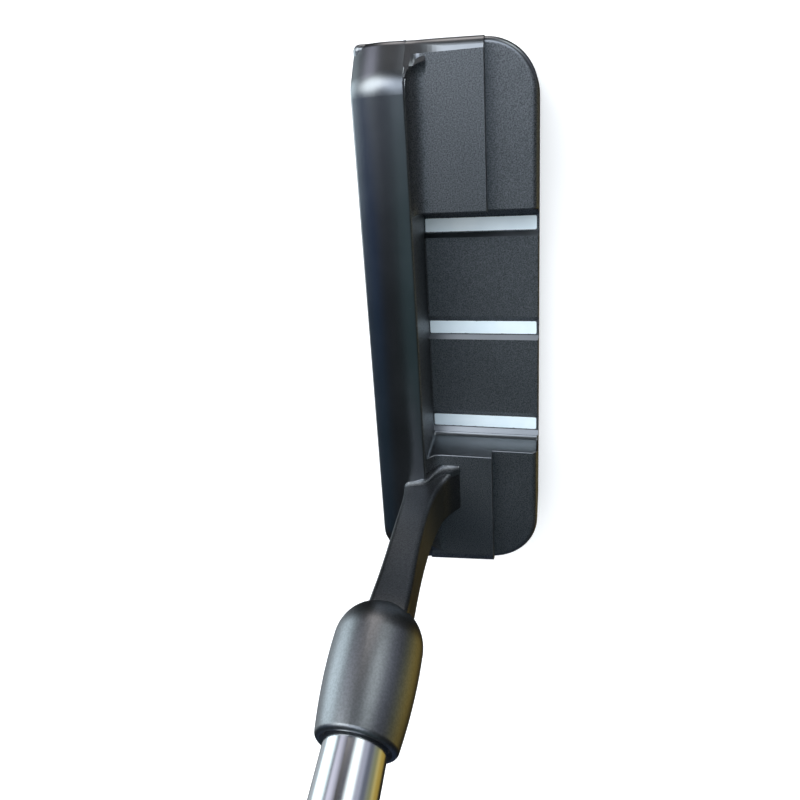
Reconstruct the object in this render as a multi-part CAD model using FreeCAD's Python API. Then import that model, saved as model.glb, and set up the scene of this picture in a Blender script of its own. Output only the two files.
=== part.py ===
import FreeCAD, Part
import math
import os

os.makedirs("parts", exist_ok=True)
V = FreeCAD.Vector

# ---------------------------------------------------------------- dimensions
# Millimetres. Ground is Z = 0, +Y points from the striking face to the back
# of the head, -X is the toe, +X is the heel (the golfer's side).
TOE_FRONT_X = -58.7      # toe end, slightly slanted in plan
TOE_BACK_X = -57.4
HEEL_FRONT_X = 57.0      # heel end, slightly slanted in plan
HEEL_BACK_X = 54.3
BACK_Y = 17.4            # back edge of the flange
FACE_Y = -17.5           # striking face, measured at the front of the topline
LOFT = 3.5               # face loft, degrees
FLOOR_Z = 8.4            # cavity floor above the ground
TOP_Z = FLOOR_Z + 12.0   # crest of the topline above the ground
TOP_FRONT_Z = FLOOR_Z + 9.8    # topline where it meets the face
TOP_BACK_Y = -6.55       # back edge of the topline
TOP_BACK_Z = FLOOR_Z + 11.6
TIER_A_Z = FLOOR_Z + 8.0       # upper step of the heel and toe bumpers
TIER_B_Z = FLOOR_Z + 5.5       # lower step, along the back edge
RISER_Y = 7.6            # riser between the two steps
CAVITY_TOE = 25.8        # inner wall of the toe bumper at the floor
CAVITY_HEEL = 25.9       # inner wall of the heel bumper at the floor
DRAFT_TOE = 1.0          # draft of the bumpers' inner walls, degrees
DRAFT_HEEL = 9.0
BACK_CORNER_TOE = 10.3
BACK_CORNER_HEEL = 11.3
SLOPE = 37.0             # fall of the topline at its toe and heel ends
LEVEL_TOE_X = -48.3      # level stretch of the topline
LEVEL_HEEL_X = 45.8
SOLE_R_LONG = 420.0      # sole camber, heel to toe
SOLE_R_SHORT = 120.0     # sole camber, front to back
SOLE_PAD = 0.18          # depth of the small ground pad milled on the camber

LINE_PITCH = 22.6        # spacing of the three alignment lines
LINE_WIDTH = 2.85
LINE_DEPTH = 0.5
GROOVE_TOP = 5.3         # grooves that hold the lines
GROOVE_DEPTH = 0.7

LIE = 70.57              # shaft lie, degrees
AXIS_X = 16.74           # where the shaft axis meets the level of the floor
AXIS_Y = -6.16
BARREL_S0 = 51.6         # hosel barrel along the shaft axis
BARREL_S1 = 72.2
BARREL_R = 7.2           # widest, just above the shoulder
SHOULDER_R = 6.3         # big round where the bar enters
BARREL_END_R = 6.2       # the barrel narrows towards its mouth
BORE_S0 = 56.8           # bottom of the bore
TIP_R = 4.7              # 0.370 in parallel tip
BORE_R = 4.82
CLUB_S1 = 852.0          # butt end of the shaft along the axis
BUTT_R = 7.366           # 0.580 in butt

INSERT_L = 74.0          # face insert
INSERT_H = 13.0
INSERT_T = 3.6
GLUE_T = 0.2

lam = math.radians(LIE)
AX = V(math.cos(lam), 0, math.sin(lam))          # along the shaft, up to the grip
AN = V(-math.sin(lam), 0, math.cos(lam))         # away from the golfer, thumbs' side
AY = V(0, 1, 0)
A0 = V(AXIS_X, AXIS_Y, FLOOR_Z)


def axis(s):
    return A0 + AX * s


# ---------------------------------------------------------------- helpers
def rounded(points, radii):
    """Closed wire through points with rounded corners."""
    n = len(points)
    segs = []
    ends = []
    for i in range(n):
        p0, p1, p2 = points[i - 1], points[i], points[(i + 1) % n]
        r = radii[i]
        a = (p0 - p1).normalize()
        b = (p2 - p1).normalize()
        if r <= 0:
            ends.append((p1, None, p1))
            continue
        half = math.acos(max(-1, min(1, a.dot(b)))) / 2
        t = r / math.tan(half)
        m = (a + b).normalize()
        c = p1 + m * (r / math.sin(half))
        mid = c - m * r
        ends.append((p1 + a * t, mid, p1 + b * t))
    for i in range(n):
        s, mid, e = ends[i]
        if mid is not None:
            segs.append(Part.Arc(s, mid, e).toShape())
        nxt = ends[(i + 1) % n][0]
        if e.distanceToPoint(nxt) > 1e-6:
            segs.append(Part.LineSegment(e, nxt).toShape())
    return Part.Wire(segs)


def prism(wire, vec):
    return Part.Face(wire).extrude(vec)


def box(x0, x1, y0, y1, z0, z1):
    return Part.makeBox(x1 - x0, y1 - y0, z1 - z0, V(x0, y0, z0))


def poly(points):
    return Part.makePolygon(points + [points[0]])


def lathe(profile):
    """Solid of revolution about the shaft axis from (s, r) points."""
    pts = [axis(s) + AN * r for s, r in profile]
    return Part.Face(poly(pts)).revolve(A0, AX, 360)


def clean(shape):
    shape = shape.removeSplitter()
    if shape.ShapeType != "Solid" and len(shape.Solids) == 1:
        shape = shape.Solids[0]
    return shape


def pick(shape, test):
    return [e for e in shape.Edges if test(e)]


def try_fillet(shape, radius, edges, name=""):
    for r in (radius, radius * 0.8, radius * 0.5):
        try:
            out = shape.makeFillet(r, edges)
            if out.isValid() and out.Volume > 0 and len(out.Solids) == 1:
                return out.Solids[0]
        except Exception:
            pass
    print("fillet left sharp:", name)
    return shape


def edge_near(shape, p, tol=0.25):
    v = Part.Vertex(p)
    return [e for e in shape.Edges if e.distToShape(v)[0] < tol]


def save(shape, name):
    shape = clean(shape)
    shape.exportStep("parts/%s.step" % name)
    print("%-22s valid=%s solids=%d volume=%.1f" % (name, shape.isValid(), len(shape.Solids), shape.Volume))
    return shape


# ---------------------------------------------------------------- head body
def outline(z):
    pts = [V(TOE_FRONT_X, -24, z), V(HEEL_FRONT_X, -24, z), V(HEEL_BACK_X, BACK_Y, z), V(TOE_BACK_X, BACK_Y, z)]
    return rounded(pts, [0, 0, BACK_CORNER_HEEL, BACK_CORNER_TOE])


def is_top(e, z):
    return all(abs(v.Point.z - z) < 1e-3 for v in e.Vertexes)


# bumper steps: the plan of the head with its upper edge rounded over
tall = prism(outline(-1), V(0, 0, 40))
tier_a = prism(outline(-1), V(0, 0, TIER_A_Z + 1))
tier_a = tier_a.makeFillet(2.9, pick(tier_a, lambda e: is_top(e, TIER_A_Z) and e.BoundBox.YMin > -25 and e.BoundBox.YMax > 0))
tier_a = tier_a.common(box(-50, 80, -30, RISER_Y, -5, 40))
tier_b = prism(outline(-1), V(0, 0, TIER_B_Z + 1))
tier_b = tier_b.makeFillet(1.3, pick(tier_b, lambda e: is_top(e, TIER_B_Z) and e.BoundBox.YMax > 0))

# topline: one crowned section carried along the head, falling at both ends
p1, p2, p3 = (FACE_Y, TOP_FRONT_Z), (-11.2, TOP_Z), (TOP_BACK_Y - 0.5, TOP_BACK_Z + 0.02)
d = 2 * (p1[0] * (p2[1] - p3[1]) + p2[0] * (p3[1] - p1[1]) + p3[0] * (p1[1] - p2[1]))
s1, s2, s3 = (p[0] ** 2 + p[1] ** 2 for p in (p1, p2, p3))
cy = (s1 * (p2[1] - p3[1]) + s2 * (p3[1] - p1[1]) + s3 * (p1[1] - p2[1])) / d
cz = (s1 * (p3[0] - p2[0]) + s2 * (p1[0] - p3[0]) + s3 * (p2[0] - p1[0])) / d
cr = math.hypot(p1[0] - cy, p1[1] - cz)
start_y = FACE_Y - 2.4
start_z = cz + math.sqrt(cr ** 2 - (start_y - cy) ** 2)
SEC_Z = FLOOR_Z + 5.0


def section(x):
    a = V(x, start_y, start_z)
    b = V(x, p2[0], p2[1])
    c = V(x, p3[0], p3[1])
    lip = V(x, TOP_BACK_Y, TOP_BACK_Z - 0.5)
    lip_mid = V(x, TOP_BACK_Y - 0.15, TOP_BACK_Z - 0.13)
    back = V(x, TOP_BACK_Y, SEC_Z)
    front = V(x, start_y, SEC_Z)
    return Part.Wire([
        Part.Arc(a, b, c).toShape(), Part.Arc(c, lip_mid, lip).toShape(),
        Part.LineSegment(lip, back).toShape(), Part.LineSegment(back, front).toShape(),
        Part.LineSegment(front, a).toShape()])


def ridge(x, y0, y1, top):
    """Flat-topped strip that falls with the topline at its ends."""
    return poly([V(x, y0, SEC_Z), V(x, y0, top), V(x, y1, top), V(x, y1, SEC_Z)])


def carried(make):
    level = Part.Face(make(LEVEL_TOE_X)).extrude(V(LEVEL_HEEL_X - LEVEL_TOE_X, 0, 0))
    pivot_z = SEC_Z - 0.5
    out = [level]
    for x, sign in ((LEVEL_TOE_X, -1), (LEVEL_HEEL_X, 1)):
        face = Part.Face(make(x))
        out.append(face.revolve(V(x, 0, pivot_z), V(0, 1, 0), sign * SLOPE))
        turned = face.copy()
        turned.rotate(V(x, 0, pivot_z), V(0, 1, 0), sign * SLOPE)
        a = math.radians(SLOPE)
        out.append(turned.extrude(V(sign * math.cos(a), 0, -math.sin(a)) * 16))
    shape = out[0]
    for o in out[1:]:
        shape = shape.fuse(o)
    return shape.removeSplitter()


topline = carried(section).common(tall)
END_R = 2.0              # round at the low ends of the topline


def end_edges(shape, sign):
    """Top edges where the falling topline meets the end wall."""
    return [e for e in shape.Edges if sign * e.BoundBox.Center.x > 53 and e.BoundBox.YLength > 3
            and e.BoundBox.ZMin > SEC_Z - 5.5 and e.BoundBox.ZMax < TOP_Z - 3 and type(e.Curve).__name__ != "Line"]


topline = try_fillet(topline, END_R, end_edges(topline, -1), "toe end of topline")
topline = try_fillet(topline, END_R, end_edges(topline, 1), "heel end of topline")


def toe_wall(y):
    """X of the toe end wall at a depth y."""
    return TOE_FRONT_X + (y + 24) / (BACK_Y + 24) * (TOE_BACK_X - TOE_FRONT_X)


def toe_section(y, z_in, z_edge, angle, bend):
    """Section across the toe end: a top line with a break at TOE_EDGE_X,
    then a round down into the end wall."""
    w = toe_wall(y)
    zc = z_edge - math.tan(angle) * (TOE_EDGE_X - w)
    t = bend * math.tan((math.pi / 2 - angle) / 2)
    start = V(w + t * math.cos(angle), y, zc + t * math.sin(angle))
    end = V(w, y, zc - t)
    cen = V(w + bend, y, zc - t)
    half = ((start - cen) * (1 / bend) + V(-1, 0, 0)).normalize()
    a, b = V(TOE_IN_X, y, z_in), V(TOE_EDGE_X, y, z_edge)
    return Part.Wire([
        Part.LineSegment(a, b).toShape(), Part.LineSegment(b, start).toShape(),
        Part.Arc(start, cen + half * bend, end).toShape(),
        Part.LineSegment(end, V(w, y, TOE_LOW)).toShape(),
        Part.LineSegment(V(w, y, TOE_LOW), V(TOE_IN_X, y, TOE_LOW)).toShape(),
        Part.LineSegment(V(TOE_IN_X, y, TOE_LOW), a).toShape()])


def crown_z(y):
    return cz + math.sqrt(cr ** 2 - (y - cy) ** 2)


def falling(x, top):
    """Height at x of the falling topline, for a point at this height on its level stretch."""
    fall = math.radians(SLOPE)
    lift = top - (SEC_Z - 0.5)
    bx, bz = LEVEL_TOE_X - lift * math.sin(fall), SEC_Z - 0.5 + lift * math.cos(fall)
    return bz - (bx - x) * math.tan(fall)


# toe end: the falling topline turns, behind its back edge, into the soft
# bevel along the upper step's toe edge
TOE_IN_X = -53.2
TOE_EDGE_X = -55.4
TOE_LOW = SEC_Z - 1.6
slope_rad = math.radians(SLOPE)


def slope_section(y, top):
    return toe_section(y, falling(TOE_IN_X, top), falling(TOE_EDGE_X, top), slope_rad, END_R)


y_lip = TOP_BACK_Y - 0.5
topline = topline.cut(box(-80, TOE_IN_X, y_lip, 0, -5, 60))
sec_lip = slope_section(y_lip, crown_z(y_lip))
sec_turn = slope_section(TOP_BACK_Y + 0.65, crown_z(y_lip) - 0.08)
BEVEL = 17.0             # bevel along the upper step's toe edge


def smooth(t):
    t = max(0.0, min(1.0, t))
    return t * t * (3 - 2 * t)


def blend_section(y):
    """Between the falling topline and the bevel, gently in and out."""
    y0 = TOP_BACK_Y + 0.65
    k_in = smooth((y - y0) / 2.3)
    k_out = smooth((y - y0) / 7.0)
    top = crown_z(y_lip) - 0.08
    z_in = falling(TOE_IN_X, top) * (1 - k_in) + TIER_A_Z * k_in
    z_edge = falling(TOE_EDGE_X, top) * (1 - k_in) + TIER_A_Z * k_in
    return toe_section(y, z_in, z_edge, math.radians(SLOPE * (1 - k_out) + BEVEL * k_out), END_R + (2.3 - END_R) * k_out)


sec_rear = toe_section(RISER_Y, TIER_A_Z, TIER_A_Z, math.radians(BEVEL), 2.3)
toe_turn = Part.makeLoft([sec_lip, sec_turn], True, True)
y_turn = TOP_BACK_Y + 0.65
steps = [y_turn + d for d in (0.0, 0.6, 1.15, 1.7, 2.3, 3.2, 4.1, 5.0, 6.0, 7.0)]
toe_blend = Part.makeLoft([blend_section(y) for y in steps], True, True)
toe_rear = Part.makeLoft([blend_section(steps[-1]), sec_rear], True, True)
toe_base = prism(outline(-1), V(0, 0, TOE_LOW + 1)).common(box(-80, -49, -30, RISER_Y, -5, 40))
toe_panel = box(TOE_IN_X - 0.1, -49, TOP_BACK_Y - 0.9, RISER_Y, -1, TIER_A_Z)
shoulder = toe_turn.fuse(toe_blend).fuse(toe_rear).fuse(toe_base.common(box(-80, -49, y_lip, RISER_Y, -5, 40))).fuse(toe_panel)
# the falling topline carried back to the pocket's round corner
corner_fill = carried(lambda x: ridge(x, y_lip - 0.2, TOP_BACK_Y + 0.65, TOP_BACK_Z - 0.06)).common(box(TOE_IN_X - 0.05, -51.25, -30, 30, -5, 40))
shoulder = shoulder.fuse(corner_fill)

# pocket behind the topline, down to the upper step, with a rounded root
pocket_pts = [V(-55.4, TOP_BACK_Y, TIER_A_Z), V(70, TOP_BACK_Y, TIER_A_Z), V(70, 30, TIER_A_Z), V(-55.4, 30, TIER_A_Z)]
pocket = prism(rounded(pocket_pts, [4.2, 0, 0, 0]), V(0, 0, 20))
root = pick(pocket, lambda e: is_top(e, TIER_A_Z) and (e.BoundBox.YMax < 0 or e.BoundBox.XMax < -50))
pocket = try_fillet(pocket, 3.3, root, "pocket root")
# fillet material between the topline's back and the upper step
web = carried(lambda x: ridge(x, TOP_BACK_Y - 1.0, TOP_BACK_Y + 3.4, TOP_BACK_Z - 0.35)).common(box(-57.0, 55.2, -30, 30, -5, 40))

core = prism(outline(-1), V(0, 0, SEC_Z + 1.3)).common(box(LEVEL_TOE_X - 3.5, LEVEL_HEEL_X + 3.5, -30, TOP_BACK_Y + 1, -5, 40))
core = core.fuse(prism(outline(-1), V(0, 0, SEC_Z - 0.1)).common(box(LEVEL_TOE_X - 4, 80, -30, TOP_BACK_Y + 1, -5, 40)))
rear = tier_a.fuse(shoulder).fuse(web)
rear = rear.common(box(-80, 80, y_lip, 40, -5, 40)).cut(pocket)
body = topline.fuse(core).fuse(toe_base).fuse(rear).fuse(tier_b)
body = body.removeSplitter()

# striking face, leaning back by the loft
face_cut = box(-90, 90, -60, 0, -40, 60)
face_cut.rotate(V(0, 0, 0), V(1, 0, 0), -LOFT)
face_cut.translate(V(0, FACE_Y, TOP_FRONT_Z))
body = body.cut(face_cut)

# cambered sole with a small flat pad in the middle
long_r = Part.makeCylinder(SOLE_R_LONG, 200, V(0, -100, SOLE_R_LONG - SOLE_PAD), V(0, 1, 0))
short_r = Part.makeCylinder(SOLE_R_SHORT, 300, V(-150, 0, SOLE_R_SHORT - SOLE_PAD), V(1, 0, 0))
body = body.common(long_r).common(short_r).cut(box(-90, 90, -60, 60, -10, 0))

# cavity between the bumpers: drafted sides, rounded at the floor
t_toe = math.tan(math.radians(DRAFT_TOE))
t_heel = math.tan(math.radians(DRAFT_HEEL))
h = 16.0
cav = [V(-CAVITY_TOE, TOP_BACK_Y, FLOOR_Z), V(CAVITY_HEEL, TOP_BACK_Y, FLOOR_Z),
       V(CAVITY_HEEL + h * t_heel, TOP_BACK_Y, FLOOR_Z + h), V(-CAVITY_TOE - h * t_toe, TOP_BACK_Y, FLOOR_Z + h)]
cavity = prism(rounded(cav, [0.8, 1.7, 0, 0]), V(0, 40, 0))
front_root = pick(cavity, lambda e: e.BoundBox.YMax < TOP_BACK_Y + 1e-3 and e.BoundBox.ZMax < FLOOR_Z + 1e-3 and e.Length > 10)
cavity = try_fillet(cavity, 0.7, front_root, "cavity root")
body = body.cut(cavity)
# broken edges all round the cavity's mouth
rims = []
for y, z in ((4.0, TIER_A_Z), (12.0, TIER_B_Z)):
    rims += edge_near(body, V(-CAVITY_TOE - (z - FLOOR_Z) * t_toe, y, z), 0.1)
    rims += edge_near(body, V(CAVITY_HEEL + (z - FLOOR_Z) * t_heel, y, z), 0.1)
body = try_fillet(body, 0.35, rims, "bumper rims")

# three shallow grooves with sloped sides, each with a pocket for its line
LINES = (("toe", -LINE_PITCH), ("centre", 0.0), ("heel", LINE_PITCH))
line_solids = {}
for label, x in LINES:
    g = poly([V(x - GROOVE_TOP / 2, TOP_BACK_Y, FLOOR_Z + 0.9), V(x - GROOVE_TOP / 2, TOP_BACK_Y, FLOOR_Z),
              V(x - LINE_WIDTH / 2 - 0.25, TOP_BACK_Y, FLOOR_Z - GROOVE_DEPTH), V(x + LINE_WIDTH / 2 + 0.25, TOP_BACK_Y, FLOOR_Z - GROOVE_DEPTH),
              V(x + GROOVE_TOP / 2, TOP_BACK_Y, FLOOR_Z), V(x + GROOVE_TOP / 2, TOP_BACK_Y, FLOOR_Z + 0.9)])
    body = body.cut(prism(g, V(0, 40, 0)))
    pts = [V(x - LINE_WIDTH / 2, TOP_BACK_Y + 0.25, FLOOR_Z - GROOVE_DEPTH - LINE_DEPTH), V(x + LINE_WIDTH / 2, TOP_BACK_Y + 0.25, FLOOR_Z - GROOVE_DEPTH - LINE_DEPTH),
           V(x + LINE_WIDTH / 2, BACK_Y - 0.45, FLOOR_Z - GROOVE_DEPTH - LINE_DEPTH), V(x - LINE_WIDTH / 2, BACK_Y - 0.45, FLOOR_Z - GROOVE_DEPTH - LINE_DEPTH)]
    bar = prism(rounded(pts, [0.3, 0.3, 0.3, 0.3]), V(0, 0, LINE_DEPTH + 0.02))
    body = body.cut(bar.common(box(-90, 90, -60, 60, 0, FLOOR_Z - GROOVE_DEPTH)))
    line_solids[label] = bar

# face insert pocket
def in_face(shape):
    s = shape.copy()
    s.rotate(V(0, 0, 0), V(1, 0, 0), -LOFT)
    s.translate(V(0, FACE_Y, TOP_FRONT_Z))
    return s


def insert_block(grow, y0, y1):
    hl, zc, hh = INSERT_L / 2 + grow, -9.2, INSERT_H / 2 + grow
    pts = [V(-hl, y0, zc - hh), V(hl, y0, zc - hh), V(hl, y0, zc + hh), V(-hl, y0, zc + hh)]
    return prism(rounded(pts, [INSERT_H / 2 - 0.8] * 4), V(0, y1 - y0, 0))


pocket_face = in_face(insert_block(GLUE_T, -1.0, INSERT_T + GLUE_T))
insert = in_face(insert_block(0.0, 0.0, INSERT_T))
glue = in_face(insert_block(GLUE_T, 0.0, INSERT_T + GLUE_T)).cut(insert)
body = body.cut(pocket_face)

# ---------------------------------------------------------------- neck bar
# height above the floor, then the four corners: toe-front, toe-back,
# heel-back, heel-front as (distance to the toe, distance from the back edge)
NECK = [
    (6.6, (-31.8, -28.9), (-28.6, -15.2), (-41.6, -15.2), (-43.6, -28.9)),
    (8.3, (-32.3, -28.7), (-30.1, -16.9), (-40.7, -16.9), (-42.8, -28.7)),
    (9.4, (-32.7, -28.6), (-30.9, -18.1), (-41.2, -18.1), (-42.4, -28.6)),
    (11.0, (-33.0, -28.5), (-31.5, -19.2), (-41.6, -19.2), (-42.0, -28.5)),
    (13.6, (-32.9, -28.1), (-31.8, -20.0), (-41.8, -20.0), (-41.8, -28.1)),
    (18.5, (-32.0, -27.3), (-31.6, -20.5), (-41.5, -20.5), (-41.5, -27.3)),
    (31.5, (-31.5, -26.5), (-31.5, -20.3), (-40.1, -20.3), (-40.1, -26.5)),
    (42.0, (-31.5, -26.0), (-31.5, -19.5), (-38.8, -19.5), (-38.8, -26.0)),
    (55.0, (-31.6, -25.7), (-31.6, -18.8), (-37.6, -18.8), (-37.6, -25.7)),
]


def uvw(u, v, w):
    return V(-u, v + 17.0, w + FLOOR_Z)


sections = []
for w, *corners in NECK:
    sections.append(rounded([uvw(u, v, w) for u, v in corners], [0.9] * 4))
neck = Part.makeLoft(sections, True, False)

# foot of the bar: a hollow round between its toe face and the head, over the
# topline, down its back and along the upper step
# (Y, height of the head's surface, X of the toe face, radius)
FOOT = [
    (-11.42, crown_z(-11.42), 33.62, 0.35),
    (-11.1, crown_z(-11.1), 33.22, 0.80),
    (-10.6, crown_z(-10.6), 33.02, 1.15),
    (-9.6, crown_z(-9.6), 32.88, 1.40),
    (-8.2, crown_z(-8.2), 32.68, 1.55),
    (-7.1, crown_z(-7.1), 32.45, 1.55),
    (-6.5, FLOOR_Z + 11.15, 32.20, 1.50),
    (-5.6, FLOOR_Z + 9.75, 31.85, 1.50),
    (-4.6, FLOOR_Z + 8.75, 31.45, 1.55),
    (-3.4, FLOOR_Z + 8.12, 31.05, 1.60),
    (-2.0, FLOOR_Z + 8.0, 30.75, 1.45),
    (-0.6, FLOOR_Z + 8.0, 30.45, 1.10),
    (0.4, FLOOR_Z + 8.0, 30.15, 0.70),
]


def foot_section(y, z, x, r):
    q = math.sqrt(0.5)
    dip = 0.10
    return Part.Wire([
        Part.Arc(V(x - r, y, z - dip), V(x - r + r * q, y, z + r - r * q - dip * 0.6), V(x, y, z + r)).toShape(),
        Part.LineSegment(V(x, y, z + r), V(x + 1.3, y, z + r)).toShape(),
        Part.LineSegment(V(x + 1.3, y, z + r), V(x + 1.3, y, z - 1.0)).toShape(),
        Part.LineSegment(V(x + 1.3, y, z - 1.0), V(x - r, y, z - 1.0)).toShape(),
        Part.LineSegment(V(x - r, y, z - 1.0), V(x - r, y, z - dip)).toShape()])


foot = Part.makeLoft([foot_section(*f) for f in FOOT], True, False)


# ---------------------------------------------------------------- hosel barrel
def barrel_profile():
    """Wire of the barrel's outside in the (s, r) plane, as real arcs."""
    rs = SHOULDER_R
    flat = BARREL_R - rs
    q = math.sqrt(0.5)

    def P(s, r):
        return axis(s) + AN * r
    s2 = BARREL_S1 - 0.6
    e = []
    e.append(Part.LineSegment(P(BARREL_S0, 0), P(BARREL_S0, flat)).toShape())
    e.append(Part.Arc(P(BARREL_S0, flat), P(BARREL_S0 + rs - rs * q, flat + rs * q), P(BARREL_S0 + rs, BARREL_R)).toShape())
    e.append(Part.Arc(P(BARREL_S0 + rs, BARREL_R), P(BARREL_S0 + rs + 7.2, BARREL_R - 0.19), P(s2, BARREL_END_R)).toShape())
    e.append(Part.Arc(P(s2, BARREL_END_R), P(s2 + 0.42, BARREL_END_R - 0.24), P(BARREL_S1, BARREL_END_R - 0.62)).toShape())
    e.append(Part.LineSegment(P(BARREL_S1, BARREL_END_R - 0.62), P(BARREL_S1, 0)).toShape())
    e.append(Part.LineSegment(P(BARREL_S1, 0), P(BARREL_S0, 0)).toShape())
    return Part.Wire(e)


barrel_full = Part.Face(barrel_profile()).revolve(A0, AX, 360)
if barrel_full.Volume < 0:
    barrel_full.reverse()
SPIGOT_R = 2.4
SPIGOT_S1 = BARREL_S0 + 3.2
spigot = Part.makeCylinder(SPIGOT_R, SPIGOT_S1 - (BARREL_S0 - 4), axis(BARREL_S0 - 4), AX)
spigot = spigot.common(neck.fuse(lathe([(BARREL_S0 - 0.2, 0), (BARREL_S0 - 0.2, 4), (BARREL_S0 + 9, 4), (BARREL_S0 + 9, 0)])))
bore = Part.makeCylinder(BORE_R, 60, axis(BORE_S0), AX)
mouth = Part.makeCone(BORE_R, BORE_R + 0.5, 0.5, axis(BARREL_S1 - 0.5), AX)
barrel = barrel_full.cut(bore).cut(mouth).cut(spigot)

# the bar stops at the barrel and enters it with a short round spigot
past = lathe([(BARREL_S0 + 3.0, 0), (BARREL_S0 + 3.0, 30), (BARREL_S0 + 40, 30), (BARREL_S0 + 40, 0)])
neck = neck.cut(barrel_full).cut(past)
if len(neck.Solids) > 1:
    neck = max(neck.Solids, key=lambda s: s.Volume)
neck = neck.fuse(spigot.cut(neck))
tenon = prism(rounded([uvw(-34.6, -27.0, 2.0), uvw(-34.6, -18.6, 2.0), uvw(-40.6, -18.6, 2.0), uvw(-40.6, -27.0, 2.0)], [1.2] * 4), V(0, 0, 8))
body = clean(body.cut(tenon))
neck = clean(neck.fuse(foot).fuse(tenon).cut(body))
if len(neck.Solids) > 1:
    neck = max(neck.Solids, key=lambda s: s.Volume)

# ---------------------------------------------------------------- shaft
STEPS = [(BORE_S0 + 0.3, TIP_R), (250.0, TIP_R)]
r0, n_steps, s_a, s_b = TIP_R, 12, 250.0, 505.0
for i in range(n_steps):
    s = s_a + (s_b - s_a) * i / (n_steps - 1)
    r1 = TIP_R + (BUTT_R - TIP_R) * (i + 1) / n_steps
    STEPS += [(s, STEPS[-1][1]), (s + 1.2, r1)]
STEPS.append((CLUB_S1, BUTT_R))
outer = [STEPS[0]] + [p for k, p in enumerate(STEPS[1:]) if p != STEPS[k]]
WALL_TIP, WALL_BUTT = 1.0, 0.6
shaft_solid = lathe([(BORE_S0 + 0.3, 0)] + outer + [(CLUB_S1, 0)])
inner = [(BORE_S0 - 1, 0), (BORE_S0 - 1, TIP_R - WALL_TIP), (255.0, TIP_R - WALL_TIP), (510.0, BUTT_R - WALL_BUTT), (CLUB_S1 + 1, BUTT_R - WALL_BUTT), (CLUB_S1 + 1, 0)]
shaft = shaft_solid.cut(lathe(inner))

epoxy = Part.makeCylinder(BORE_R, BARREL_S1 - 0.5 - BORE_S0, axis(BORE_S0), AX).cut(
    Part.makeCylinder(TIP_R, 60, axis(BORE_S0 + 0.3), AX))
plug = Part.makeCylinder(TIP_R - WALL_TIP, 9.0, axis(BORE_S0 + 0.3), AX)

# ---------------------------------------------------------------- grip
GRIP_S0 = 590.0
GRIP_S1 = CLUB_S1 + 3.0
TAPE_T = 0.18
GRIP = [  # s, half width, flat height (thumbs' side), depth (palm side)
    (GRIP_S0, 8.6, 8.3, 8.6),
    (GRIP_S0 + 60, 9.8, 8.8, 9.9),
    (GRIP_S0 + 130, 10.9, 9.2, 11.2),
    (GRIP_S0 + 190, 11.8, 9.6, 13.0),
    (GRIP_S0 + 235, 12.8, 10.0, 16.0),
    (GRIP_S1, 13.4, 10.4, 17.2),
]


def grip_wire(s, hw, flat, depth):
    c = axis(s)

    def P(y, n):
        return c + AY * y + AN * n
    w = hw * 0.62
    e = [Part.LineSegment(P(-w, flat), P(w, flat)).toShape(),
         Part.Arc(P(w, flat), P(hw * 0.93, flat * 0.62), P(hw, 0)).toShape(),
         Part.Arc(P(hw, 0), P(hw * 0.72, -depth * 0.72), P(0, -depth)).toShape(),
         Part.Arc(P(0, -depth), P(-hw * 0.72, -depth * 0.72), P(-hw, 0)).toShape(),
         Part.Arc(P(-hw, 0), P(-hw * 0.93, flat * 0.62), P(-w, flat)).toShape()]
    return Part.Wire(e)


grip = Part.makeLoft([grip_wire(*g) for g in GRIP], True, False)
tape = Part.makeCylinder(BUTT_R + TAPE_T, CLUB_S1 - GRIP_S0 - 4, axis(GRIP_S0 + 4), AX).cut(
    Part.makeCylinder(BUTT_R, CLUB_S1, axis(GRIP_S0 - 10), AX))
grip_bore = Part.makeCylinder(BUTT_R + TAPE_T, CLUB_S1 - GRIP_S0 - 4, axis(GRIP_S0 + 4), AX).fuse(
    Part.makeCylinder(BUTT_R, 14.0, axis(GRIP_S0 - 10), AX))
grip = grip.cut(grip_bore)
CAP_R = 8.2
cap_seat = Part.makeCylinder(CAP_R, 10, axis(CLUB_S1), AX)
grip = grip.cut(cap_seat)
cap = Part.makeCylinder(CAP_R, 3.0, axis(CLUB_S1), AX)
cap = cap.cut(Part.makeCylinder(1.2, 20, axis(CLUB_S1 - 5), AX))
cap_edges = pick(cap, lambda e: abs((e.BoundBox.Center - axis(CLUB_S1 + 3.0)).dot(AX)) < 0.05 and e.Length > 40)
cap = try_fillet(cap, 0.8, cap_edges, "cap rim")

# ---------------------------------------------------------------- edge work
# topline front edge and front corners
corner = [e for e in body.Edges if e.BoundBox.XMax < TOE_BACK_X and e.BoundBox.ZLength > 2 and e.BoundBox.YMax < FACE_Y + 1.5
          and e.BoundBox.XLength < 0.6]
body = try_fillet(body, 2.6, corner, "toe end of the face")
corner = [e for e in body.Edges if e.BoundBox.XMin > HEEL_BACK_X and e.BoundBox.ZLength > 2 and e.BoundBox.YMax < FACE_Y + 1.5
          and e.BoundBox.XLength < 0.6]
body = try_fillet(body, 2.6, corner, "heel end of the face")
front = edge_near(body, V(0, FACE_Y, TOP_FRONT_Z), 0.05)
body = try_fillet(body, 0.9, front, "topline front edge")

# ---------------------------------------------------------------- write
save(body, "head_body")
for label, bar in line_solids.items():
    save(bar.cut(body), "alignment_line_" + label)
save(insert, "face_insert")
save(glue, "insert_adhesive")
save(neck, "neck_bar")
save(barrel, "hosel_barrel")
save(shaft, "shaft")
save(epoxy, "shaft_epoxy")
save(plug, "tip_plug")
save(grip, "grip")
save(tape, "grip_tape")
save(cap, "grip_cap")
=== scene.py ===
import math

import bpy
from mathutils import Matrix, Vector

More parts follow.
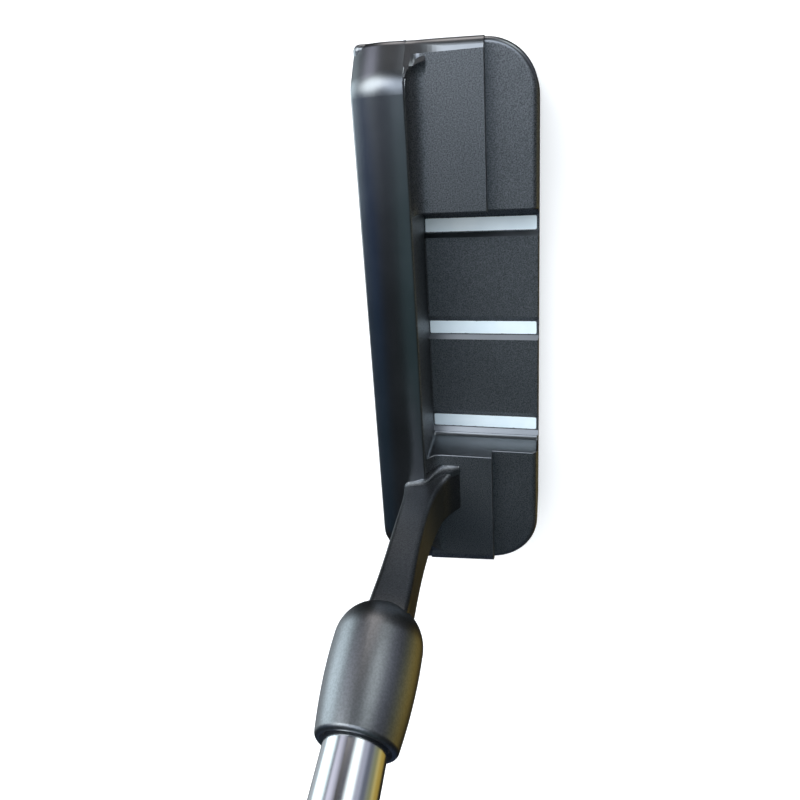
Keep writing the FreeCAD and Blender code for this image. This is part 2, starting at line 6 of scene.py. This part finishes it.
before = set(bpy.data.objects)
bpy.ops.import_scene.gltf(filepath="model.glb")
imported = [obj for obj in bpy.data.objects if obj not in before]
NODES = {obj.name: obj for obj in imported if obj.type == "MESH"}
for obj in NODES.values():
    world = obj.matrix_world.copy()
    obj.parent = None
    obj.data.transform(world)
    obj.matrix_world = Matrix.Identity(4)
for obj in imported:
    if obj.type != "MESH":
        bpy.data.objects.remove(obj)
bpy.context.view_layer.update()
MM = 0.001


# ---------------------------------------------------------------- node helper
class Net:
    """Small writer for shader node trees."""

    def __init__(self, tree):
        self.t = tree
        self.t.nodes.clear()

    def node(self, kind, **props):
        n = self.t.nodes.new(kind)
        for k, v in props.items():
            setattr(n, k, v)
        return n

    def put(self, socket, value):
        if isinstance(value, bpy.types.NodeSocket):
            self.t.links.new(value, socket)
        elif isinstance(value, (tuple, list)) and len(value) == 3 and len(getattr(socket, "default_value", (0,) * 3)) == 4:
            socket.default_value = (*value, 1.0)
        else:
            socket.default_value = value

    def math(self, op, a, b=0.0, c=None, clamp=False):
        n = self.node("ShaderNodeMath", operation=op, use_clamp=clamp)
        self.put(n.inputs[0], a)
        self.put(n.inputs[1], b)
        if c is not None:
            self.put(n.inputs[2], c)
        return n.outputs[0]

    def vmath(self, op, a, b=(0, 0, 0), scale=None):
        n = self.node("ShaderNodeVectorMath", operation=op)
        self.put(n.inputs[0], a)
        if op not in ("NORMALIZE", "LENGTH", "SCALE"):
            self.put(n.inputs[1], b)
        if scale is not None:
            self.put(n.inputs["Scale"], scale)
        return n.outputs["Value"] if op in ("DOT_PRODUCT", "LENGTH", "DISTANCE") else n.outputs["Vector"]

    def remap(self, v, a, b, c=0.0, d=1.0, smooth=True):
        n = self.node("ShaderNodeMapRange", interpolation_type="SMOOTHSTEP" if smooth else "LINEAR")
        for i, x in enumerate((v, a, b, c, d)):
            self.put(n.inputs[i], x)
        return n.outputs[0]

    def xyz(self, v):
        n = self.node("ShaderNodeSeparateXYZ")
        self.put(n.inputs[0], v)
        return n.outputs

    def join(self, x, y, z):
        n = self.node("ShaderNodeCombineXYZ")
        for i, v in enumerate((x, y, z)):
            self.put(n.inputs[i], v)
        return n.outputs[0]

    def mix(self, f, a, b, kind="MIX"):
        n = self.node("ShaderNodeMix", data_type="RGBA", blend_type=kind)
        self.put(n.inputs[0], f)
        self.put(n.inputs[6], a)
        self.put(n.inputs[7], b)
        return n.outputs[2]

    def mixf(self, f, a, b):
        n = self.node("ShaderNodeMix", data_type="FLOAT")
        self.put(n.inputs[0], f)
        self.put(n.inputs[2], a)
        self.put(n.inputs[3], b)
        return n.outputs[0]

    def noise(self, v, scale, detail=2.0, rough=0.5, dist=0.0):
        n = self.node("ShaderNodeTexNoise")
        self.put(n.inputs["Vector"], v)
        self.put(n.inputs["Scale"], scale)
        self.put(n.inputs["Detail"], detail)
        self.put(n.inputs["Roughness"], rough)
        self.put(n.inputs["Distortion"], dist)
        return n.outputs[0]

    def specks(self, v, scale, size, share):
        """Sparse round specks: 1 inside a speck, share of the cells have one."""
        n = self.node("ShaderNodeTexVoronoi", feature="F1")
        self.put(n.inputs["Vector"], v)
        self.put(n.inputs["Scale"], scale)
        c = self.node("ShaderNodeSeparateColor")
        self.put(c.inputs[0], n.outputs["Color"])
        on = self.math("LESS_THAN", c.outputs[0], share)
        r = self.math("MULTIPLY", c.outputs[1], size)
        near = self.remap(n.outputs["Distance"], self.math("MULTIPLY", r, 0.4), r, 1.0, 0.0)
        return self.math("MULTIPLY", near, on)

    def bump(self, h, strength, dist, normal=None):
        n = self.node("ShaderNodeBump")
        self.put(n.inputs["Strength"], strength)
        self.put(n.inputs["Distance"], dist)
        self.put(n.inputs["Height"], h)
        if normal is not None:
            self.put(n.inputs["Normal"], normal)
        return n.outputs[0]

    def edge(self, radius, samples=6):
        """How sharply the surface turns nearby: 0 on flats, up to 1 on edges."""
        b = self.node("ShaderNodeBevel", samples=samples)
        self.put(b.inputs["Radius"], radius)
        g = self.node("ShaderNodeNewGeometry")
        d = self.vmath("DOT_PRODUCT", b.outputs[0], g.outputs["Normal"])
        return self.math("SUBTRACT", 1.0, d, clamp=True)


def material(name):
    m = bpy.data.materials.new(name)
    m.use_nodes = True
    net = Net(m.node_tree)
    out = net.node("ShaderNodeOutputMaterial")
    bsdf = net.node("ShaderNodeBsdfPrincipled")
    net.put(out.inputs["Surface"], bsdf.outputs[0])
    coord = net.node("ShaderNodeTexCoord").outputs["Object"]
    return m, net, bsdf, coord


def give(node, mat):
    me = NODES[node].data
    if not me.materials:
        me.materials.append(mat)
    for i in range(len(me.materials)):
        me.materials[i] = mat


# ---------------------------------------------------------------- head steel
STEEL = (0.215, 0.222, 0.235)


def head_steel(name, blasted=True, painted_shade_factor=1.0):
    """Dark coated steel: fine bead-blasted panels, satin topline and face; the shade factor darkens the colour as
    painted shade.
    """
    m, n, b, co = material(name)
    x, y, z = n.xyz(co)
    geo = n.node("ShaderNodeNewGeometry")
    nx, ny, nz = n.xyz(geo.outputs["Normal"])
    if blasted:
        # blasting stops at the topline and at the edges that face the toe
        satin = n.math("MAXIMUM", n.remap(y, -6.95 * MM, -6.45 * MM, 1.0, 0.0), n.remap(nx, -0.10, -0.24))
    else:
        satin = 0.35
    patch = n.noise(co, 55.0, 3.0, 0.55)
    fine = n.noise(co, 3900.0, 2.0, 0.6)
    grain = n.noise(co, 7000.0, 1.0, 0.5)
    long = n.noise(n.vmath("MULTIPLY", co, (18.0, 900.0, 900.0)), 1.0, 2.0, 0.6)
    speck = n.specks(co, 620.0, 0.075, 0.10)
    speck2 = n.specks(n.vmath("ADD", co, (0.013, 0.027, 0.005)), 1500.0, 0.13, 0.05)
    marks = n.math("MAXIMUM", speck, n.math("MULTIPLY", speck2, 0.7))
    edge = n.edge(0.35 * MM)
    rub = n.math("MULTIPLY", n.remap(edge, 0.06, 0.35), n.remap(n.noise(co, 420.0, 3.0, 0.7), 0.38, 0.66))
    # coating colour: slow mottling, pale grain on the blasted panels, specks, all scaled by the shade factor, which
    # below 1 is painted shade
    dark = n.mix(n.remap(patch, 0.3, 0.7), tuple(c * 0.90 * painted_shade_factor for c in STEEL), tuple(c * 1.10 * painted_shade_factor for c in STEEL))
    pale = n.mix(n.remap(fine, 0.28, 0.74, smooth=False), tuple(c * 0.38 * painted_shade_factor for c in STEEL), tuple(c * 1.62 * painted_shade_factor for c in STEEL))
    col = n.mix(n.math("MULTIPLY", n.math("SUBTRACT", 1.0, satin), 0.8), dark, pale)
    col = n.mix(n.math("MULTIPLY", marks, 0.75), col, (0.62, 0.66, 0.69))
    col = n.mix(n.math("MULTIPLY", rub, 0.45), col, (0.46, 0.47, 0.48))
    n.put(b.inputs["Base Color"], col)
    b.inputs["Metallic"].default_value = 1.0
    r_blast = n.math("ADD", 0.47, n.math("MULTIPLY", patch, 0.10))
    r_satin = n.math("ADD", 0.245, n.math("ADD", n.math("MULTIPLY", patch, 0.07), n.math("MULTIPLY", long, 0.05)))
    rough = n.mixf(satin, r_blast, r_satin)
    rough = n.math("SUBTRACT", rough, n.math("MULTIPLY", rub, 0.12))
    n.put(b.inputs["Roughness"], n.math("ADD", rough, n.math("MULTIPLY", marks, 0.25)))
    # relief: blast grain on the panels, faint lengthwise satin on the rest
    h_blast = n.math("ADD", n.math("MULTIPLY", fine, 0.65), n.math("MULTIPLY", grain, 0.35))
    h = n.mixf(satin, h_blast, n.math("ADD", n.math("MULTIPLY", long, 0.16), n.math("MULTIPLY", grain, 0.06)))
    # fly-cut lines on the striking face
    face = n.remap(ny, -0.93, -0.985)
    cut = n.math("SINE", n.math("MULTIPLY", n.math("ADD", z, n.math("MULTIPLY", x, 0.035)), 2 * math.pi / (0.55 * MM)))
    h = n.math("ADD", h, n.math("MULTIPLY", n.math("MULTIPLY", face, cut), 0.28))
    n.put(b.inputs["Normal"], n.bump(h, 0.55, 0.035 * MM))
    return m


HEAD = head_steel("head_steel")
# the neck has the head's own finish, darkened to 0.66 in colour as painted shade
NECK_PAINTED_SHADE = head_steel("neck_steel_painted_shade", blasted=False, painted_shade_factor=0.66)
give("head_body", HEAD)
give("neck_bar", NECK_PAINTED_SHADE)


def barrel_steel():
    m, n, b, co = material("barrel_steel")
    patch = n.noise(co, 70.0, 3.0, 0.55)
    fine = n.noise(co, 3000.0, 2.0, 0.6)
    edge = n.edge(0.3 * MM)
    rub = n.math("MULTIPLY", n.remap(edge, 0.08, 0.4), n.remap(n.noise(co, 500.0, 3.0, 0.7), 0.35, 0.6))
    speck = n.specks(co, 500.0, 0.06, 0.07)
    col = n.mix(n.remap(fine, 0.3, 0.7), tuple(c * 0.90 for c in STEEL), tuple(c * 1.12 for c in STEEL))
    col = n.mix(n.math("MULTIPLY", speck, 0.6), col, (0.5, 0.52, 0.54))
    col = n.mix(n.math("MULTIPLY", rub, 0.5), col, (0.46, 0.47, 0.48))
    n.put(b.inputs["Base Color"], col)
    b.inputs["Metallic"].default_value = 1.0
    n.put(b.inputs["Roughness"], n.math("ADD", 0.34, n.math("MULTIPLY", patch, 0.10)))
    n.put(b.inputs["Normal"], n.bump(n.math("ADD", fine, n.math("MULTIPLY", patch, 0.5)), 0.35, 0.02 * MM))
    return m


give("hosel_barrel", barrel_steel())


# ---------------------------------------------------------------- sight lines
def line_paint():
    m, n, b, co = material("line_paint")
    x, y, z = n.xyz(co)
    pitch = 22.6 * MM
    near = n.math("MULTIPLY", n.math("ROUND", n.math("DIVIDE", x, pitch)), pitch)
    off = n.math("ABSOLUTE", n.math("SUBTRACT", x, near))
    ragged = n.noise(co, 900.0, 3.0, 0.7)
    ragged2 = n.noise(co, 3500.0, 2.0, 0.6)
    lip = n.math("ADD", off, n.math("MULTIPLY", n.math("SUBTRACT", ragged, 0.5), 0.55 * MM))
    lip = n.math("ADD", lip, n.math("MULTIPLY", n.math("SUBTRACT", ragged2, 0.5), 0.16 * MM))
    chip = n.remap(lip, 1.42 * MM, 1.50 * MM)
    pin = n.specks(co, 800.0, 0.16, 0.02)
    chip = n.math("MAXIMUM", chip, pin)
    shade = n.noise(co, 160.0, 2.0, 0.5)
    white = n.mix(n.remap(shade, 0.3, 0.7), (0.74, 0.86, 0.93), (0.80, 0.91, 0.97))
    white = n.mix(n.math("MULTIPLY", n.remap(ragged2, 0.62, 0.75), 0.25), white, (0.60, 0.70, 0.76))
    n.put(b.inputs["Base Color"], n.mix(chip, white, (0.035, 0.037, 0.04)))
    b.inputs["Metallic"].default_value = 0.0
    n.put(b.inputs["Roughness"], n.math("ADD", 0.32, n.math("MULTIPLY", shade, 0.2)))
    h = n.math("SUBTRACT", n.math("MULTIPLY", shade, 0.6), n.math("MULTIPLY", chip, 1.0))
    n.put(b.inputs["Normal"], n.bump(h, 0.4, 0.06 * MM))
    return m


LINE = line_paint()
for k in ("toe", "centre", "heel"):
    give("alignment_line_" + k, LINE)


# ---------------------------------------------------------------- shaft chrome
LIE = math.radians(70.57)
A0 = Vector((16.74, -6.16, 8.4)) * MM
AX = Vector((math.cos(LIE), 0, math.sin(LIE)))
AN = Vector((-math.sin(LIE), 0, math.cos(LIE)))


def along(n, co):
    """Distance along the shaft axis, and the two coordinates across it."""
    rel = n.vmath("SUBTRACT", co, tuple(A0))
    s = n.vmath("DOT_PRODUCT", rel, tuple(AX))
    a = n.vmath("DOT_PRODUCT", rel, tuple(AN))
    yy = n.vmath("DOT_PRODUCT", rel, (0.0, 1.0, 0.0))
    return s, a, yy


def chrome():
    m, n, b, co = material("shaft_chrome")
    s, a, yy = along(n, co)
    v = n.join(n.math("MULTIPLY", s, 8.0), n.math("MULTIPLY", a, 400.0), n.math("MULTIPLY", yy, 400.0))
    drawn = n.noise(v, 1.0, 3.0, 0.6)
    haze = n.noise(co, 45.0, 3.0, 0.6)
    pit = n.specks(co, 300.0, 0.05, 0.06)
    col = n.mix(n.remap(haze, 0.35, 0.7), (0.53, 0.542, 0.56), (0.58, 0.59, 0.605))
    n.put(b.inputs["Base Color"], n.mix(n.math("MULTIPLY", pit, 0.6), col, (0.25, 0.25, 0.25)))
    b.inputs["Metallic"].default_value = 1.0
    rough = n.math("ADD", 0.20, n.math("MULTIPLY", n.remap(haze, 0.45, 0.8), 0.05))
    n.put(b.inputs["Roughness"], n.math("ADD", rough, n.math("MULTIPLY", pit, 0.2)))
    n.put(b.inputs["Normal"], n.bump(drawn, 0.10, 0.02 * MM))
    return m


give("shaft", chrome())


# ---------------------------------------------------------------- the rest
def plain(name, c0, c1, rough, scale, bump, metallic=0.0, detail=3.0):
    m, n, b, co = material(name)
    a = n.noise(co, scale, detail, 0.6)
    c = n.noise(co, scale * 6.0, 2.0, 0.6)
    n.put(b.inputs["Base Color"], n.mix(n.remap(n.math("ADD", n.math("MULTIPLY", a, 0.6), n.math("MULTIPLY", c, 0.4)), 0.35, 0.65), c0, c1))
    b.inputs["Metallic"].default_value = metallic
    n.put(b.inputs["Roughness"], n.math("ADD", rough, n.math("MULTIPLY", a, 0.12)))
    n.put(b.inputs["Normal"], n.bump(c, bump, 0.05 * MM))
    return m


def insert_polymer():
    """Dark polymer insert with a fine diamond milling."""
    m, n, b, co = material("insert_polymer")
    x, y, z = n.xyz(co)
    p = 2 * math.pi / (1.5 * MM)
    d1 = n.math("SINE", n.math("MULTIPLY", n.math("ADD", x, z), p))
    d2 = n.math("SINE", n.math("MULTIPLY", n.math("SUBTRACT", x, z), p))
    cut = n.math("MAXIMUM", n.remap(d1, 0.80, 0.98), n.remap(d2, 0.80, 0.98))
    fine = n.noise(co, 2500.0, 2.0, 0.6)
    patch = n.noise(co, 80.0, 2.0, 0.5)
    col = n.mix(n.remap(fine, 0.3, 0.7), (0.040, 0.041, 0.044), (0.070, 0.071, 0.075))
    # painted shade: the milled grooves are darkened in colour
    col = n.mix(n.math("MULTIPLY", cut, 0.5), col, (0.022, 0.022, 0.024))
    n.put(b.inputs["Base Color"], col)
    n.put(b.inputs["Roughness"], n.math("ADD", 0.42, n.math("MULTIPLY", patch, 0.15)))
    n.put(b.inputs["Normal"], n.bump(n.math("SUBTRACT", n.math("MULTIPLY", fine, 0.15), cut), 0.7, 0.12 * MM))
    return m


def grip_rubber():
    """Moulded rubber: rows of small dimples round the grip, a ribbed flat on the thumbs' side."""
    m, n, b, co = material("grip_rubber")
    s, a, yy = along(n, co)
    ang = n.math("ARCTAN2", yy, a)
    ps = 3.4 * MM
    row = n.math("FLOOR", n.math("DIVIDE", s, ps))
    shift = n.math("MULTIPLY", n.math("MODULO", row, 2.0), 0.5)
    u = n.math("SUBTRACT", n.math("FRACT", n.math("ADD", n.math("MULTIPLY", ang, 22 / (2 * math.pi)), n.math("ADD", shift, 40.0))), 0.5)
    v = n.math("SUBTRACT", n.math("FRACT", n.math("DIVIDE", s, ps)), 0.5)
    d = n.math("SQRT", n.math("ADD", n.math("MULTIPLY", u, u), n.math("MULTIPLY", v, v)))
    dimple = n.remap(d, 0.18, 0.34, 1.0, 0.0)
    flat = n.remap(n.math("ABSOLUTE", ang), 0.45, 0.60, 1.0, 0.0)
    rib = n.remap(n.math("SINE", n.math("MULTIPLY", s, 2 * math.pi / (4.2 * MM))), 0.2, 0.8)
    smooth_end = n.remap(s, 848.0 * MM, 850.0 * MM, 1.0, 0.0)
    mouth = n.remap(s, 596.0 * MM, 600.0 * MM)
    cut = n.math("MULTIPLY", n.mixf(flat, dimple, rib), n.math("MULTIPLY", smooth_end, mouth))
    fine = n.noise(co, 1600.0, 3.0, 0.6)
    patch = n.noise(co, 30.0, 3.0, 0.6)
    col = n.mix(n.remap(patch, 0.3, 0.7), (0.020, 0.020, 0.021), (0.034, 0.034, 0.035))
    # painted shade: the dimples and ribs are darkened in colour
    col = n.mix(n.math("MULTIPLY", cut, 0.4), col, (0.012, 0.012, 0.012))
    col = n.mix(n.math("MULTIPLY", n.remap(fine, 0.55, 0.75), 0.4), col, (0.060, 0.060, 0.060))
    n.put(b.inputs["Base Color"], col)
    n.put(b.inputs["Roughness"], n.math("ADD", 0.62, n.math("MULTIPLY", fine, 0.2)))
    n.put(b.inputs["Normal"], n.bump(n.math("SUBTRACT", n.math("MULTIPLY", fine, 0.12), cut), 0.9, 0.35 * MM))
    return m


give("face_insert", insert_polymer())
give("grip", grip_rubber())
give("insert_adhesive", plain("adhesive_film", (0.30, 0.26, 0.18), (0.42, 0.37, 0.27), 0.35, 300.0, 0.4))
give("shaft_epoxy", plain("epoxy_black", (0.022, 0.021, 0.020), (0.05, 0.047, 0.043), 0.30, 500.0, 0.5))
give("tip_plug", plain("plug_plastic", (0.05, 0.05, 0.052), (0.08, 0.08, 0.083), 0.55, 400.0, 0.4))
give("grip_tape", plain("tape_paper", (0.48, 0.42, 0.30), (0.60, 0.54, 0.41), 0.80, 350.0, 0.8))
give("grip_cap", plain("cap_rubber", (0.022, 0.022, 0.023), (0.040, 0.040, 0.041), 0.58, 260.0, 0.5))

# ---------------------------------------------------------------- floor
bpy.ops.mesh.primitive_plane_add(size=12.0, location=(0, 0, 0))
floor = bpy.context.object
floor.name = "floor"
fm, fn, fb, fc = material("floor_pale")
fn.put(fb.inputs["Base Color"], fn.mix(fn.noise(fc, 3.0, 2.0, 0.5), (0.90, 0.90, 0.90), (0.93, 0.93, 0.93)))
fb.inputs["Roughness"].default_value = 0.9
fb.inputs["Specular IOR Level"].default_value = 0.0
fb.inputs["Emission Color"].default_value = (1, 1, 1, 1)
fb.inputs["Emission Strength"].default_value = 0.37
floor.data.materials.append(fm)
floor.visible_glossy = False

# ---------------------------------------------------------------- studio light
world = bpy.data.worlds.new("studio")
bpy.context.scene.world = world
world.use_nodes = True
w = Net(world.node_tree)
wo = w.node("ShaderNodeOutputWorld")
wb = w.node("ShaderNodeBackground")
w.put(wo.inputs["Surface"], wb.outputs[0])
direction = w.vmath("NORMALIZE", w.node("ShaderNodeTexCoord").outputs["Generated"])
dx, dy, dz = w.xyz(direction)


def card(total, centre, inner, outer, colour):
    """Adds a soft round patch of light in a direction, in degrees from its centre."""
    c = Vector(centre).normalized()
    d = w.vmath("DOT_PRODUCT", direction, tuple(c))
    f = w.remap(d, math.cos(math.radians(outer)), math.cos(math.radians(inner)))
    add = w.vmath("SCALE", tuple(colour), scale=f)
    return w.vmath("ADD", total, add)


# dim room, with soft cards round it: direction, inner and outer half angle
# in degrees, colour
low = w.remap(dz, -0.25, 0.15)
env = w.mix(low, (0.014, 0.014, 0.014), (0.024, 0.026, 0.028))
CARDS = (
    ((-0.30, -0.39, 0.87), 4, 26, (0.00, 0.01, 0.07)),
    ((-0.51, 0.10, 0.85), 4, 26, (2.00, 2.25, 2.55)),
    ((-0.64, -0.24, 0.73), 3, 16, (2.30, 2.45, 2.60)),
    ((-0.02, -0.87, 0.50), 4, 26, (0.00, 0.03, 0.14)),
    ((0.20, 0.20, 0.96), 4, 26, (0.07, 0.14, 0.15)),
    ((0.39, -0.86, 0.33), 4, 26, (0.00, 0.03, 0.06)),
    ((-0.95, -0.11, -0.28), 3, 19, (2.30, 2.15, 2.05)),
    ((-0.80, -0.58, 0.05), 2, 13, (1.34, 1.33, 1.58)),
    ((-0.90, 0.42, 0.09), 3, 19, (2.60, 2.85, 2.85)),
    ((-0.68, 0.73, -0.04), 3, 18, (0.60, 0.62, 0.75)),
    ((-0.99, 0.11, -0.02), 2, 16, (0.02, 0.02, 0.06)),
    ((-0.35, 0.93, -0.10), 4, 24, (0.18, 0.20, 0.26)),
    ((0.10, 0.95, -0.30), 5, 24, (0.32, 0.33, 0.18)),
    ((0.42, 0.76, -0.50), 4, 26, (0.60, 0.42, 0.08)),
    ((0.30, -0.86, -0.42), 4, 34, (0.62, 0.68, 0.72)),
    ((-0.25, -0.95, -0.15), 4, 30, (2.60, 3.05, 3.20)),
    ((-0.55, -0.60, 0.58), 4, 26, (4.50, 4.85, 4.90)),
    ((0.97, -0.10, 0.21), 6, 34, (0.03, 0.05, 0.10)),
)
for centre, inner, outer, colour in CARDS:
    env = card(env, centre, inner, outer, colour)
w.put(wb.inputs["Color"], env)
wb.inputs["Strength"].default_value = 1.0


def sun(name, direction_to, strength, angle, colour=(1, 1, 1)):
    data = bpy.data.lights.new(name, "SUN")
    data.energy = strength
    data.angle = math.radians(angle)
    data.color = colour
    ob = bpy.data.objects.new(name, data)
    ob.rotation_mode = "QUATERNION"
    ob.rotation_quaternion = Vector(direction_to).normalized().to_track_quat("Z", "Y")
    bpy.context.scene.collection.objects.link(ob)
    ob.visible_glossy = False
    ob.visible_camera = False
    return ob


sun("key", (-0.35, -0.25, 1.0), 1.15, 80)
sun("fill_a", (0.6, -0.7, 0.9), 0.58, 90)
sun("fill_b", (0.5, 0.9, 0.9), 0.58, 90)

# ---------------------------------------------------------------- camera
RIGHT = Vector((0.06071821, 0.97175267, -0.22805711))
UP = Vector((-0.9547771, -0.01007992, -0.29715163))
BACK = Vector((-0.29105669, 0.23578622, 0.92719516))
cam_data = bpy.data.cameras.new("camera")
cam_data.sensor_fit = "HORIZONTAL"
cam_data.sensor_width = 36.0
cam_data.lens = 36.0 * 619.956 / 800.0
cam_data.shift_y = (330.0 - 400.0) / 800.0
cam_data.clip_start = 0.005
cam_data.clip_end = 50.0
cam = bpy.data.objects.new("camera", cam_data)
bpy.context.scene.collection.objects.link(cam)
cam.matrix_world = Matrix.Translation(Vector((-40.1637, 19.8731, 138.3461)) * MM) @ Matrix(
    ((RIGHT.x, UP.x, BACK.x), (RIGHT.y, UP.y, BACK.y), (RIGHT.z, UP.z, BACK.z))).to_4x4()
bpy.context.scene.camera = cam
bpy.context.scene.view_settings.view_transform = "Standard"
bpy.context.scene.view_settings.look = "None"
